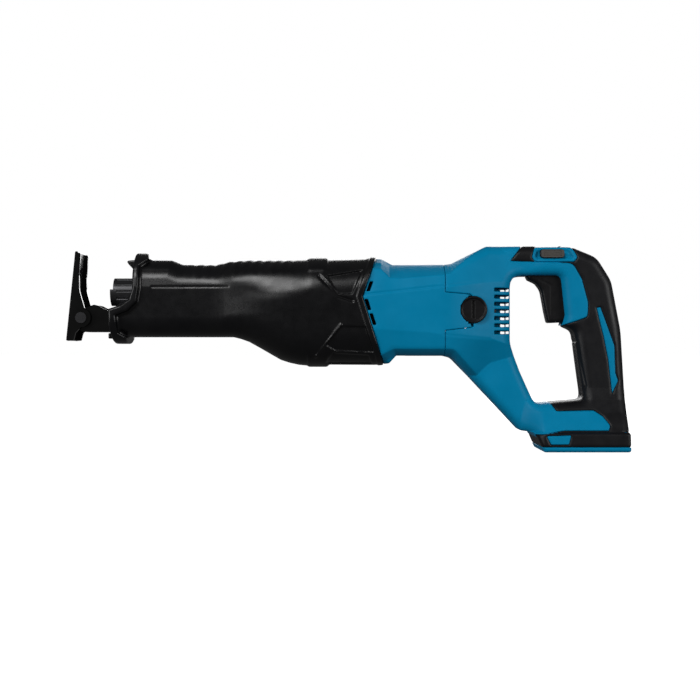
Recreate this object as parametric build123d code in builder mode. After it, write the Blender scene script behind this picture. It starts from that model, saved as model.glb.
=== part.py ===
"""Cordless reciprocating saw, bare tool without its battery or blade.

Millimetres. +X runs from the shoe to the grip, +Y to the operator's right and +Z up. The origin is
the centre of the whole tool in X and Y, at the height of the battery base's underside.
"""

import os
from math import atan2, degrees, radians, sin

from build123d import *

os.makedirs("parts", exist_ok=True)

# ---------------------------------------------------------------- driving dimensions
MOTOR_Z = 120.5  # height of the motor's axis
STROKE_Z = 136.5  # height of the blade's axis
STROKE = 32.0  # blade travel, twice the crank's throw
FORWARD = 8.0  # how much of the travel is still ahead of the drawn position
CRANK_X = -30.0  # crank shaft, which stands upright
SPLIT_X = 82.8  # motor housing meets the handle shells
BARREL_R = 39.0  # outside of the motor housing
WALL = 3.0  # moulded and cast walls
BOOT_WALL = 2.5  # rubber cover
GAP = 0.2  # between neighbours that don't move
RUN = 0.05  # radial clearance of a running fit
CAP_X = 107.0  # brush caps and commutator
CAP_R = 11.0
GRIP_HALF = 18.5  # half the width of the grip
BASE_HALF = 37.5  # half the width of the battery base
SOFT_LAYER = 2.0  # thickness of the overmoulded grip
BEARING_BORE, BEARING_OD, BEARING_WIDTH = 8.0, 22.0, 7.0
FAR = 60.0  # half width of anything that cuts right across


def save(builder, name):
    """Labels a finished piece and writes it as its own file."""
    builder.part.label = name
    export_step(builder.part, f"parts/{name}.step")


# ---------------------------------------------------------------- shared shapes
def slab(corners, y_from=-FAR, y_to=FAR, inset=0.0):
    """Side outline of (x, z, corner radius) given a width from one Y to another."""
    with BuildPart() as made:
        with BuildSketch(Plane.XZ.offset(-y_to)):
            with BuildLine():
                points = [(x, z) for x, z, _ in corners]
                FilletPolyline(*points, radius=[r for _, _, r in corners], close=True)
            make_face()
            if inset:
                offset(amount=-inset, kind=Kind.INTERSECTION, mode=Mode.REPLACE)
        extrude(amount=y_to - y_from)
    return made.part


def tube(plane, radius, length, bore=0.0):
    """Round bar or tube that grows from a plane along its normal."""
    with BuildPart() as made:
        with BuildSketch(plane):
            Circle(radius)
            if bore:
                Circle(bore, mode=Mode.SUBTRACT)
        extrude(amount=length)
    return made.part


def along_x(x, z, y=0.0):
    """Plane that faces +X."""
    return Plane((x, y, z), x_dir=(0, 1, 0), z_dir=(1, 0, 0))


def along_y(x, y, z):
    """Plane that faces +Y."""
    return Plane((x, y, z), x_dir=(1, 0, 0), z_dir=(0, 1, 0))


def along_z(x, z, y=0.0):
    """Plane that faces +Z."""
    return Plane((x, y, z))


def block(x_from, x_to, y_from, y_to, z_from, z_to):
    """Plain box between six faces."""
    with BuildPart() as made:
        with Locations(((x_from + x_to) / 2, (y_from + y_to) / 2, (z_from + z_to) / 2)):
            Box(x_to - x_from, y_to - y_from, z_to - z_from)
    return made.part


def loft_along_x(sections, inset=0.0):
    """Loft of rounded rectangles (x, underside, top, half width, corner radius)."""
    with BuildPart() as made:
        for x, low, high, half, radius in sections:
            with BuildSketch(Plane.YZ.offset(x)):
                with Locations((0, (low + high) / 2)):
                    RectangleRounded(2 * (half - inset), high - low - 2 * inset, radius - inset)
        loft(ruled=True)
    return made.part


def ball_bearing(plane):
    """Shielded bearing whose shields sit a little below its rings."""
    far_side = plane.offset(BEARING_WIDTH - 0.5)
    with BuildPart() as made:
        add(tube(plane, BEARING_OD / 2, BEARING_WIDTH, BEARING_BORE / 2))
        add(tube(plane, 9.2, 0.5, 6.0), mode=Mode.SUBTRACT)
        add(tube(far_side, 9.2, 0.5, 6.0), mode=Mode.SUBTRACT)
    return made.part


def rounded_bar(plane, reach, half_width, radius, length):
    """Bar with rounded corners whose one side lies on the plane's local X origin."""
    with BuildPart() as made:
        with BuildSketch(plane):
            with Locations((-reach / 2, 0)):
                RectangleRounded(reach, 2 * half_width, radius)
        extrude(amount=length)
    return made.part


# ---------------------------------------------------------------- nose: boot and gear housing
# x, underside, top, half width, corner radius
NOSE = [
    (-206.0, 97.5, 163.7, 28.0, 17.0),
    (-150.0, 97.5, 163.7, 28.0, 17.0),
    (-140.0, 97.5, 160.0, 28.0, 17.0),
    (-112.0, 97.5, 160.0, 29.5, 17.5),
    (-98.0, 97.5, 163.0, 32.5, 20.0),
    (-84.0, 93.5, 163.7, 36.0, 25.0),
    (-66.0, 83.0, 163.8, 39.5, 32.0),
    (-50.0, 75.4, 164.0, 40.5, 34.0),
    (-32.0, 72.8, 164.7, 40.5, 35.0),
    (30.0, 73.6, 164.7, 40.0, 36.0),
    (40.0, MOTOR_Z - BARREL_R, MOTOR_Z + BARREL_R, BARREL_R, BARREL_R - 0.1),
    (SPLIT_X, MOTOR_Z - BARREL_R, MOTOR_Z + BARREL_R, BARREL_R, BARREL_R - 0.1),
]
LINER = BOOT_WALL + GAP  # the gear housing's skin lies this far inside the boot's
# The boot's front edge steps forward below the blade and ends in a raised lip.
LIP_FRONT = [
    (-180.3, 172.0), (-181.5, 155.0), (-181.5, 138.6), (-184.2, 129.7), (-192.0, 124.0),
    (-201.8, 120.8), (-201.4, 104.0), (-199.6, 94.5), (-196.0, 88.0),
]
LIP_BACK = [
    (-189.5, 88.0), (-187.0, 97.0), (-194.5, 101.0), (-195.8, 115.8), (-185.7, 119.8),
    (-178.4, 127.0), (-176.4, 139.0), (-176.4, 158.0), (-168.5, 164.0), (-171.0, 172.0),
]
LIP_GROW = 5.8  # the lip stands this far out from the nose
CHEVRON = [(25.0, 166.0), (13.1, 131.6), (31.4, 73.0)]  # the boot's back edge


def ahead_of_lip(shift=0.0):
    """Everything in front of the boot's front edge."""
    edge = [(x + shift, z, 0) for x, z in LIP_FRONT]
    return slab([(-260, 172, 0), *edge, (-260, 88, 0)])


def behind_chevron(shift=0.0):
    """Everything behind the boot's back edge."""
    edge = [(x + shift, z, 0) for x, z in CHEVRON]
    return slab([(100, 180, 0), (29 + shift, 180, 0), *edge, (35 + shift, 60, 0), (100, 60, 0)])


def boot_lip():
    """Raised band round the boot's mouth, and the small horn at its top."""
    _, low, high, half, radius = NOSE[0]
    with BuildPart() as made:
        with BuildSketch(Plane.YZ.offset(-206)):
            with Locations((0, (low + high) / 2)):
                RectangleRounded(
                    2 * (half + LIP_GROW), high - low + 2 * LIP_GROW + 2, radius + LIP_GROW
                )
        extrude(amount=40)
        add(slab([(x, z, 0) for x, z in LIP_FRONT + LIP_BACK]), mode=Mode.INTERSECT)
        add(slab([(-190.6, 163.6, 1), (-179, 163.6, 0), (-179, 153, 0), (-190.4, 159.6, 1)], -6, 6))
    return made.part


with BuildPart() as front_boot:
    add(loft_along_x(NOSE[:11]))
    add(ahead_of_lip(), mode=Mode.SUBTRACT)
    add(boot_lip())
    add(loft_along_x(NOSE[:11], BOOT_WALL), mode=Mode.SUBTRACT)
    add(behind_chevron(), mode=Mode.SUBTRACT)
    add(block(-205.6, -199.5, -9, 9, 96.2, 100.9))
save(front_boot, "front_boot")

POCKET_FRONT = -190.0  # the casting is hollow behind this wall
PLATE_FRONT, PLATE_BACK = 2.2, 9.2  # bearing plate that closes the gear chamber
CLAMP_BORE_END = -145.0  # the blade clamp draws back to here
BUSH_R = 10.5
ROD_R = 7.5
POST_FOOT, POST_TOP = 82.0, 103.5  # crank bearing post
GEAR_BOLTS = [(-30.5, 130.0), (30.5, 130.0), (-25.4, 92.6), (25.4, 92.6)]


def chamber():
    """Hollow of the gear housing, with its ribs, channel and post left standing."""
    with BuildPart() as made:
        add(loft_along_x(NOSE[:10], LINER + WALL))
        add(block(-210, POCKET_FRONT, -FAR, FAR, 60, 180), mode=Mode.SUBTRACT)
        add(tube(along_x(-210, STROKE_Z), 17, 136), mode=Mode.SUBTRACT)
        add(block(-210, -74, -2, 2, 140, 170), mode=Mode.SUBTRACT)
        add(block(-210, -98, -18.6, 18.6, 90, 124), mode=Mode.SUBTRACT)
        add(tube(along_z(CRANK_X, 60), 14.5, POST_TOP - 60), mode=Mode.SUBTRACT)
        for y, z in GEAR_BOLTS:
            add(tube(along_x(-16, z, y), 4.5, 30), mode=Mode.SUBTRACT)
    return made.part


with BuildPart() as gear_housing:
    add(loft_along_x(NOSE[:10], LINER))
    add(ahead_of_lip(3.0), mode=Mode.SUBTRACT)
    add(block(PLATE_FRONT - GAP, 60, -FAR, FAR, 40, 200), mode=Mode.SUBTRACT)
    add(chamber(), mode=Mode.SUBTRACT)
    add(tube(along_x(-210, STROKE_Z), 14, CLAMP_BORE_END + 210), mode=Mode.SUBTRACT)
    add(tube(along_x(CLAMP_BORE_END - 1, STROKE_Z), BUSH_R, 80), mode=Mode.SUBTRACT)
    add(block(-210, -97, -15.6, 15.6, 101.4, 119.7), mode=Mode.SUBTRACT)
    add(tube(along_z(CRANK_X, POST_FOOT), BEARING_OD / 2, 40), mode=Mode.SUBTRACT)
    for y, z in GEAR_BOLTS:
        add(tube(along_x(-12, z, y), 1.9, 30), mode=Mode.SUBTRACT)
save(gear_housing, "gear_housing")

with BuildPart() as bearing_plate:
    add(loft_along_x(NOSE[:11], LINER))
    add(block(-220, PLATE_FRONT, -FAR, FAR, 40, 200), mode=Mode.SUBTRACT)
    add(block(PLATE_BACK, 60, -FAR, FAR, 40, 200), mode=Mode.SUBTRACT)
    add(tube(along_x(0, MOTOR_Z), BEARING_OD / 2, 20), mode=Mode.SUBTRACT)
    for y, z in GEAR_BOLTS:
        add(tube(along_x(0, z, y), 2.1, 20), mode=Mode.SUBTRACT)
save(bearing_plate, "bearing_plate")

with BuildPart() as gear_bolts:
    for y, z in GEAR_BOLTS:
        add(tube(along_x(-11, z, y), 1.9, PLATE_BACK + 11))
        add(tube(along_x(PLATE_BACK, z, y), 3.4, 3))
    with BuildSketch(along_x(PLATE_BACK + 1, 0)):
        with Locations(*[(y, z) for y, z in GEAR_BOLTS]):
            RegularPolygon(1.5, 6)
    extrude(amount=3, mode=Mode.SUBTRACT)
save(gear_bolts, "gear_bolts")

for name, x, length in (("front_bush", -140.0, 20.0), ("rear_bush", -98.0, 22.0)):
    with BuildPart() as bush:
        add(tube(along_x(x, STROKE_Z), BUSH_R, length, ROD_R + RUN))
    save(bush, name)

with BuildPart() as felt_seal:
    add(tube(along_x(-144.5, STROKE_Z), BUSH_R, 4.0, ROD_R + 0.3))
save(felt_seal, "felt_seal")

# ---------------------------------------------------------------- handle form
# Side profile of the handle: outside and finger opening, as (x, z, corner radius). It starts
# ahead of the joint so that a shape inside it is open there.
FORM_FRONT = SPLIT_X - 8.0
HANDLE_OUTSIDE = [
    (FORM_FRONT, 159.6, 0), (SPLIT_X, 159.6, 0), (89.0, 160.2, 6), (110.0, 170.6, 10),
    (119.0, 175.2, 8), (190.0, 176.0, 30), (214.5, 166.0, 18), (227.0, 146.0, 24), (235.2, 103.0, 90),
    (238.6, 45.0, 90), (240.0, 0.0, 2), (166.8, 0.0, 0), (158.4, 16.4, 3),
    (148.2, 17.3, 6), (90.0, 79.6, 8), (SPLIT_X, 81.4, 0), (FORM_FRONT, 81.4, 0),
]
OPENING = [
    (139.5, 150.0, 11), (160.0, 150.5, 0), (183.6, 150.5, 6), (187.2, 116.0, 0),
    (184.6, 107.6, 0), (195.0, 103.0, 7), (203.2, 44.0, 5), (174.0, 41.5, 0),
    (161.0, 40.0, 8), (148.5, 68.0, 20), (139.5, 92.0, 20),
]
BARREL = [
    (FORM_FRONT, MOTOR_Z - BARREL_R, MOTOR_Z + BARREL_R, BARREL_R, BARREL_R - 0.1),
    (SPLIT_X, MOTOR_Z - BARREL_R, MOTOR_Z + BARREL_R, BARREL_R, BARREL_R - 0.1),
    (94.0, 76.0, 162.0, 38.0, 36.0),
    (114.0, 58.0, 171.0, 30.0, 27.0),
    (140.0, 44.0, 176.0, 21.0, 18.0),
]
# z, front, back, half width, corner radius
BASE = [
    (56.0, 140.0, 240.0, 15.0, 8.0),
    (33.0, 146.0, 240.0, 26.0, 10.0),
    (17.0, 150.0, 240.0, BASE_HALF, 12.0),
    (0.0, 158.0, 240.0, BASE_HALF, 12.0),
]
EDGE_ROUNDING = 8.0  # along the top arm and down the back of the grip
TUCK = 0.15  # the wide parts stay this far inside the outline of the loop


def base_loft(inset):
    """Battery base, which flares out below the grip."""
    with BuildPart() as made:
        for z, front, back, half, radius in BASE:
            with BuildSketch(Plane.XY.offset(z)):
                with Locations(((front + back) / 2, 0)):
                    RectangleRounded(
                        back - front - 2 * inset, 2 * (half - inset), radius - inset / 2
                    )
        loft(ruled=True)
    return made.part


def handle_form(inset=0.0):
    """The closed handle's outer shape, or the shape a given depth below its skin."""
    with BuildPart() as bulk:
        add(loft_along_x(BARREL, inset))
        add(base_loft(inset))
        add(slab(HANDLE_OUTSIDE, inset=inset + TUCK), mode=Mode.INTERSECT)
        add(slab(OPENING, inset=-inset - TUCK), mode=Mode.SUBTRACT)
    half, rounding = GRIP_HALF - inset, max(EDGE_ROUNDING - inset, 3.0)
    top = Plane((FORM_FRONT - 5, 0, 176.6 - inset), x_dir=(0, 0, 1), z_dir=(1, 0, 0))
    back = Plane((241.6 - inset, 0, -20), x_dir=(1, 0, 0.06), z_dir=(-0.06, 0, 1))
    with BuildPart() as made:
        add(slab(HANDLE_OUTSIDE, -half, half, inset))
        add(slab(OPENING, inset=-inset), mode=Mode.SUBTRACT)
        add(rounded_bar(top, 250, half, rounding, 200), mode=Mode.INTERSECT)
        add(rounded_bar(back, 250, half, rounding, 230), mode=Mode.INTERSECT)
        add(bulk.part)
    return made.part


SKIN = handle_form()
UNDER_SOFT = handle_form(SOFT_LAYER)
CAVITY = handle_form(4.6)

# ---------------------------------------------------------------- motor housing
TONGUE = [
    (SPLIT_X - 8, 135.2, 0), (SPLIT_X, 135.0, 0), (104.0, 133.4, 2), (106.7, 131.0, 1),
    (106.7, 106.4, 1), (104.0, 105.4, 1), (SPLIT_X, 103.0, 0), (SPLIT_X - 8, 102.8, 0),
]
# Cooling slots behind the boot: x and z of the lower corner, height, lean.
SIDE_SLOTS = [(16.3, 135.8, 8.4, 2.9), (17.6, 119.9, 9.3, -2.9), (21.9, 107.4, 9.6, -3.1)]
SLOT_WIDTH = 3.0


def on_both_sides(corners, y_from, y_to):
    """The same side outline on the left and on the right."""
    with BuildPart() as made:
        add(slab(corners, y_from, y_to))
        mirror(about=Plane.XZ)
    return made.part


with BuildPart() as motor_housing:
    add(loft_along_x(NOSE))
    add(behind_chevron(0.3), mode=Mode.INTERSECT)
    add(loft_along_x(NOSE, LINER))
    add(block(-220, PLATE_BACK + GAP, -FAR, FAR, 40, 200), mode=Mode.SUBTRACT)
    add(loft_along_x(NOSE, LINER + 2.5), mode=Mode.SUBTRACT)
    add(tube(along_x(32.8, MOTOR_Z), BARREL_R - WALL, 60), mode=Mode.SUBTRACT)
    for x, z, height, lean in SIDE_SLOTS:
        corners = [(x, z, 0), (x + SLOT_WIDTH, z, 0), (x + SLOT_WIDTH + lean, z + height, 0),
                   (x + lean, z + height, 0)]
        add(on_both_sides(corners, 30, FAR), mode=Mode.SUBTRACT)
save(motor_housing, "motor_housing")

with BuildPart() as brush_tongue:
    add(SKIN)
    add(CAVITY, mode=Mode.SUBTRACT)
    add(slab(TONGUE), mode=Mode.INTERSECT)
    add(block(FORM_FRONT - 5, SPLIT_X, -FAR, FAR, 60, 180), mode=Mode.SUBTRACT)
    add(tube(along_y(CAP_X, -FAR, MOTOR_Z), CAP_R + GAP, 2 * FAR), mode=Mode.SUBTRACT)
tongues = brush_tongue.part.solids().sort_by(Axis.Y)
for name, tongue in (("brush_tongue_left", tongues[0]), ("brush_tongue_right", tongues[-1])):
    with BuildPart() as half_tongue:
        add(tongue)
    save(half_tongue, name)

# ---------------------------------------------------------------- handle shells and soft grip
SOFT = [
    (139.9, 162.6, 0), (193.3, 160.7, 8), (201.0, 147.0, 0), (206.5, 126.4, 12),
    (205.8, 114.7, 4), (184.0, 107.0, 0), (181.0, 60.0, 0), (176.0, 43.0, 0),
    (174.2, 40.7, 0), (178.1, 34.3, 2), (209.9, 34.9, 3), (217.1, 30.1, 0),
    (222.9, 22.5, 3), (221.3, 18.2, 1), (184.0, 18.2, 0), (165.0, 15.2, 0),
    (160.0, 15.0, 0), (164.0, 4.4, 0), (250.0, 4.4, 0), (250.0, 190.0, 0), (149.9, 190.0, 0),
    (149.9, 175.5, 0),
]
STRIPE = [
    (213.6, 122.5, 0), (216.8, 123.1, 1), (221.3, 110.8, 0), (228.8, 90.1, 8),
    (229.6, 66.7, 3), (232.0, 60.0, 2), (226.6, 49.2, 0), (225.3, 61.5, 0), (223.4, 78.4, 0),
    (219.5, 97.9, 0), (215.6, 113.4, 0),
]
BASE_WINDOW = [(168.1, 13.8, 1), (189.1, 14.4, 1), (187.2, 6.6, 1), (172.0, 6.4, 1)]
LOCK_RECESS = [(160.3, 166.0, 2), (162.5, 173.0, 2), (191.0, 173.0, 4), (195.0, 165.5, 2),
               (192.8, 163.6, 1), (162.5, 163.6, 1)]
LOCK_BUTTON = [(166.0, 172.2, 2), (185.4, 172.2, 2), (185.4, 165.6, 2), (166.0, 165.6, 2)]
VENTS, VENT_TOP, VENT_HEIGHT, VENT_PITCH = 7, 139.2, 3.1, 6.05
HANDLE_SCREWS = [(116.0, 156.0), (121.0, 66.0), (158.0, 28.0), (214.0, 88.0), (208.0, 158.5),
                 (226.0, 32.0)]
SCREW_SHELF = 8.0  # the screw heads bear on this face of the right shell
SHELF_LOW, SHELF_HIGH = 113.9, 144.1  # the switch sits between these shelves
BEARING_X = 121.0  # front face of the rear bearing


def soft_region(shrink=0.0):
    """Everything the soft grip covers, seen from the side."""
    with BuildPart() as made:
        add(slab(SOFT, inset=shrink))
        add(slab(STRIPE, inset=-shrink), mode=Mode.SUBTRACT)
        add(slab(BASE_WINDOW, inset=-shrink), mode=Mode.SUBTRACT)
    return made.part


def battery_bay():
    """Space for the battery's head, with a narrower mouth between the two rails."""
    with BuildPart() as made:
        add(block(172, 245, -30, 30, 4.2, 12))
        add(block(172, 245, -26, 26, -2, 5))
    return made.part


def vents():
    """Row of cooling slots beside the finger opening, on both sides."""
    with BuildPart() as made:
        for row in range(VENTS):
            top = VENT_TOP - row * VENT_PITCH
            for y_from, y_to in ((-FAR, -15.0), (15.0, FAR)):
                add(block(125.1, 141.0, y_from, y_to, top - VENT_HEIGHT, top))
    return made.part


def handle_rooms():
    """Hollows of the handle: behind the motor, round the switch, and the ways for the wires."""
    with BuildPart() as made:
        add(block(FORM_FRONT - 5, 136, -FAR, FAR, 86, 158))
        add(block(201, 234, -FAR, FAR, 109, 150))
        add(block(120, 215, -6, 6, 157, 165))
        add(block(209, 221, -7, 7, 8, 120))
        add(CAVITY, mode=Mode.INTERSECT)
    return made.part


def handle_inside():
    """Bosses, shelves, bearing seat and bay walls that stand inside the handle."""
    with BuildPart() as made:
        for x, z in HANDLE_SCREWS:
            add(tube(along_y(x, -FAR, z), 5.2, 2 * FAR))
        add(block(203, 240, -20, 20, SHELF_LOW - 2.4, SHELF_LOW))
        add(block(203, 240, -20, 20, SHELF_HIGH, SHELF_HIGH + 2.4))
        add(tube(along_x(BEARING_X - 1, MOTOR_Z), 14.5, BEARING_WIDTH + 1.5))
        add(block(120, 124.8, -FAR, FAR, MOTOR_Z - 2.5, MOTOR_Z + 2.5))
        add(block(120, 124.8, -2.5, 2.5, 60, 176))
        add(block(168.5, 241, -33.5, 33.5, 0, 15))
        add(SKIN_CORE, mode=Mode.INTERSECT)
    return made.part


def whole_shell():
    """Both handle shells as one body."""
    with BuildPart() as made:
        add(SKIN)
        add(handle_rooms(), mode=Mode.SUBTRACT)
        add(SOFT_RECESS, mode=Mode.SUBTRACT)
        add(handle_inside())
        add(battery_bay(), mode=Mode.SUBTRACT)
        add(tube(along_x(110, MOTOR_Z), BEARING_OD / 2, 30), mode=Mode.SUBTRACT)
        add(block(FORM_FRONT - 5, SPLIT_X + GAP, -FAR, FAR, 0, 200), mode=Mode.SUBTRACT)
        add(slab(TONGUE, inset=-GAP), mode=Mode.SUBTRACT)
        add(tube(along_y(CAP_X, -FAR, MOTOR_Z), CAP_R + GAP, 2 * FAR), mode=Mode.SUBTRACT)
        add(vents(), mode=Mode.SUBTRACT)
        add(on_both_sides(LOCK_RECESS, GRIP_HALF - 2.2, FAR), mode=Mode.SUBTRACT)
        add(slab(LOCK_BUTTON, inset=-0.35), mode=Mode.SUBTRACT)
        add(block(150, 201, -10.2, 10.2, 108.8, 160), mode=Mode.SUBTRACT)
        for x, z in HANDLE_SCREWS:
            add(tube(along_y(x, -10, z), 1.6, 40), mode=Mode.SUBTRACT)
            add(tube(along_y(x, SCREW_SHELF, z), 3.6, 40), mode=Mode.SUBTRACT)
    return made.part


def soft_shell():
    """Both halves of the soft grip as one body."""
    with BuildPart() as made:
        add(SKIN)
        add(UNDER_SOFT, mode=Mode.SUBTRACT)
        add(soft_region(0.1), mode=Mode.INTERSECT)
        add(battery_bay(), mode=Mode.SUBTRACT)
        add(on_both_sides(LOCK_RECESS, GRIP_HALF - 2.3, FAR), mode=Mode.SUBTRACT)
        add(slab(LOCK_BUTTON, inset=-0.35), mode=Mode.SUBTRACT)
        for x, z in HANDLE_SCREWS:
            add(tube(along_y(x, SCREW_SHELF, z), 3.6, 40), mode=Mode.SUBTRACT)
    return made.part


SKIN_CORE = handle_form(4.0)
with BuildPart() as soft_recess:
    add(SKIN)
    add(handle_form(SOFT_LAYER + 0.1), mode=Mode.SUBTRACT)
    add(soft_region(), mode=Mode.INTERSECT)
SOFT_RECESS = soft_recess.part

SHELL, SOFT_GRIP = whole_shell(), soft_shell()
for side, y_from, y_to in (("left", -FAR, -GAP / 2), ("right", GAP / 2, FAR)):
    half_space = block(60, 260, y_from, y_to, -10, 200)
    with BuildPart() as handle_shell:
        add(SHELL)
        add(half_space, mode=Mode.INTERSECT)
    save(handle_shell, f"handle_shell_{side}")
    with BuildPart() as soft_grip:
        add(SOFT_GRIP)
        add(half_space, mode=Mode.INTERSECT)
    save(soft_grip, f"soft_grip_{side}")

with BuildPart() as handle_screws:
    for x, z in HANDLE_SCREWS:
        add(tube(along_y(x, -9.0, z), 1.55, SCREW_SHELF + 9.0))
        add(tube(along_y(x, SCREW_SHELF, z), 3.2, 2.6))
    with BuildSketch(along_y(0, SCREW_SHELF + 1.0, 0)):
        with Locations(*[(x, -z) for x, z in HANDLE_SCREWS]):
            RegularPolygon(1.6, 6)
    extrude(amount=3, mode=Mode.SUBTRACT)
save(handle_screws, "handle_screws")

# ---------------------------------------------------------------- motor: fixed pieces
COMMUTATOR_R = 11.0
YOKE = (33.0, 81.0)  # where the steel can begins and ends

with BuildPart() as motor_yoke:
    add(tube(along_x(YOKE[0], MOTOR_Z), BARREL_R - WALL - GAP, YOKE[1] - YOKE[0], 32.4))
save(motor_yoke, "motor_yoke")

with BuildPart() as magnet_arc:
    add(tube(along_x(YOKE[0] + 3, MOTOR_Z), 32.3, YOKE[1] - YOKE[0] - 6, 26.0))
    add(block(0, 120, -8, FAR, 60, 180), mode=Mode.SUBTRACT)
save(magnet_arc, "magnet_left")

with BuildPart() as other_magnet:
    add(magnet_arc.part)
    mirror(about=Plane.XZ, mode=Mode.REPLACE)
save(other_magnet, "magnet_right")


def brush_cap():
    """Slotted screw cap over the right brush."""
    with BuildPart() as made:
        add(tube(along_y(CAP_X, 30.3, MOTOR_Z), CAP_R, 3.0))
        add(tube(along_y(CAP_X, 24.2, MOTOR_Z), 7.5, 6.2))
        add(block(CAP_X - 8, CAP_X + 8, 32, 34, MOTOR_Z - 0.9, MOTOR_Z + 0.9), mode=Mode.SUBTRACT)
    return made.part


def brush_holder():
    """Brass box that guides the right brush."""
    with BuildPart() as made:
        add(block(CAP_X - 5, CAP_X + 5, 12, 24, MOTOR_Z - 6.5, MOTOR_Z + 6.5))
        add(block(CAP_X - 3.8, CAP_X + 3.8, 11, 25, MOTOR_Z - 5.3, MOTOR_Z + 5.3),
            mode=Mode.SUBTRACT)
    return made.part


def carbon_brush():
    """Right brush, just clear of the commutator's curve."""
    with BuildPart() as made:
        add(block(CAP_X - 3.7, CAP_X + 3.7, 11.35, 19, MOTOR_Z - 5.2, MOTOR_Z + 5.2))
        add(tube(along_x(CAP_X - 10, MOTOR_Z), COMMUTATOR_R + 0.35, 20), mode=Mode.SUBTRACT)
    return made.part


def brush_spring():
    """Coil spring that presses the right brush."""
    with BuildPart() as made:
        with BuildLine():
            coil = Helix(1.25, 4.0, 2.6, center=(CAP_X, 19.6, MOTOR_Z), direction=(0, 1, 0))
        with BuildSketch(Plane(origin=coil @ 0, z_dir=coil % 0)):
            Circle(0.4)
        sweep()
    return made.part


BRUSH_GEAR = (("brush_cap", brush_cap()), ("brush_holder", brush_holder()),
              ("carbon_brush", carbon_brush()), ("brush_spring", brush_spring()))
for name, shape in BRUSH_GEAR:
    with BuildPart() as right_piece:
        add(shape)
    save(right_piece, f"{name}_right")
    with BuildPart() as left_piece:
        add(shape)
        mirror(about=Plane.XZ, mode=Mode.REPLACE)
    save(left_piece, f"{name}_left")

# ---------------------------------------------------------------- armature
PINION_TEETH, GEAR_TEETH = 8, 52
GEAR_R = 28.0
GEAR_TOP = 114.5  # root of the crown teeth
GEAR_TOOTH = 1.9
PINION_ROOT, PINION_TIP = 3.2, 4.6
TOOTH_WIDTH = 0.9

with BuildPart() as armature_shaft:
    add(tube(along_x(-6.5, MOTOR_Z), PINION_ROOT, 8.5))
    add(tube(along_x(2, MOTOR_Z), BEARING_BORE / 2, 127))
    with BuildSketch(along_x(-6.5, MOTOR_Z)):
        with PolarLocations((PINION_ROOT + PINION_TIP) / 2 - 0.3, PINION_TEETH,
                            start_angle=180 / PINION_TEETH):
            Rectangle(PINION_TIP - PINION_ROOT + 0.6, TOOTH_WIDTH)
    extrude(amount=6.5)
save(armature_shaft, "armature_shaft")

with BuildPart() as armature_core:
    add(tube(along_x(36, MOTOR_Z), 25.2, 42, BEARING_BORE / 2))
    with BuildSketch(along_x(36, MOTOR_Z)):
        with PolarLocations(23.4, 12):
            Rectangle(4.4, 2.2)
        with PolarLocations(18.5, 12):
            Circle(2.9)
    extrude(amount=42, mode=Mode.SUBTRACT)
save(armature_core, "armature_core")

with BuildPart() as armature_winding:
    with BuildSketch(along_x(31, MOTOR_Z)):
        with PolarLocations(18.5, 12):
            Circle(2.8)
    extrude(amount=53)
    for x in (30.0, 78.2):
        add(tube(along_x(x, MOTOR_Z), 22.0, 5.8, 12.0))
save(armature_winding, "armature_winding")

with BuildPart() as commutator:
    add(tube(along_x(86, MOTOR_Z), 9.0, 13, BEARING_BORE / 2))
    add(tube(along_x(99, MOTOR_Z), COMMUTATOR_R, 16, BEARING_BORE / 2))
    with BuildSketch(along_x(99, MOTOR_Z)):
        with PolarLocations(COMMUTATOR_R, 24):
            Rectangle(1.6, 0.5)
    extrude(amount=16, mode=Mode.SUBTRACT)
save(commutator, "commutator")

with BuildPart() as cooling_fan:
    add(tube(along_x(14, MOTOR_Z), 7.0, 12, BEARING_BORE / 2))
    add(tube(along_x(24.5, MOTOR_Z), 30.0, 1.5, BEARING_BORE / 2))
    with BuildSketch(along_x(14.5, MOTOR_Z)):
        with PolarLocations(18.0, 15):
            Rectangle(23.6, 1.2, rotation=14)
    extrude(amount=10.2)
save(cooling_fan, "cooling_fan")

for name, x in (("motor_bearing_front", PLATE_FRONT), ("motor_bearing_rear", BEARING_X)):
    with BuildPart() as motor_bearing:
        add(ball_bearing(along_x(x, MOTOR_Z)))
    save(motor_bearing, name)

# ---------------------------------------------------------------- crank
CRANK_ANGLE = degrees(atan2((STROKE ** 2 / 4 - FORWARD ** 2) ** 0.5, -FORWARD))
PIN_X = CRANK_X - FORWARD  # where the crank pin stands as drawn
PIN_Y = STROKE / 2 * sin(radians(CRANK_ANGLE))

with BuildPart() as crank_shaft:
    add(tube(along_z(CRANK_X, POST_FOOT + 0.5), BEARING_BORE / 2, 110 - POST_FOOT - 0.5))
save(crank_shaft, "crank_shaft")

with BuildPart() as crank_gear:
    add(tube(along_z(CRANK_X, 106), GEAR_R, GEAR_TOP - 106, BEARING_BORE / 2))
    add(tube(along_z(CRANK_X, 106), 21, 2.5, 9), mode=Mode.SUBTRACT)
    add(tube(along_z(CRANK_X, 110), 22, GEAR_TOP - 110 + 1.0))
    with BuildSketch(Plane((CRANK_X, 0, GEAR_TOP - 0.2))):
        with PolarLocations((GEAR_R + 24) / 2, GEAR_TEETH):
            Rectangle(GEAR_R - 24 - 0.1, TOOTH_WIDTH)
    extrude(amount=GEAR_TOOTH + 0.2)
save(crank_gear, "crank_gear")

with BuildPart() as crank_pin:
    add(tube(along_z(PIN_X, GEAR_TOP + 1.0, PIN_Y), 4.0, 12.0))
save(crank_pin, "crank_pin")

with BuildPart() as crank_roller:
    add(tube(along_z(PIN_X, GEAR_TOP + 3.0, PIN_Y), 6.0, 9.5, 4.0))
save(crank_roller, "crank_roller")

for name, z in (("crank_bearing_lower", POST_FOOT + 0.5), ("crank_bearing_upper", 96.0)):
    with BuildPart() as crank_bearing:
        add(ball_bearing(along_z(CRANK_X, z)))
    save(crank_bearing, name)

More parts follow.
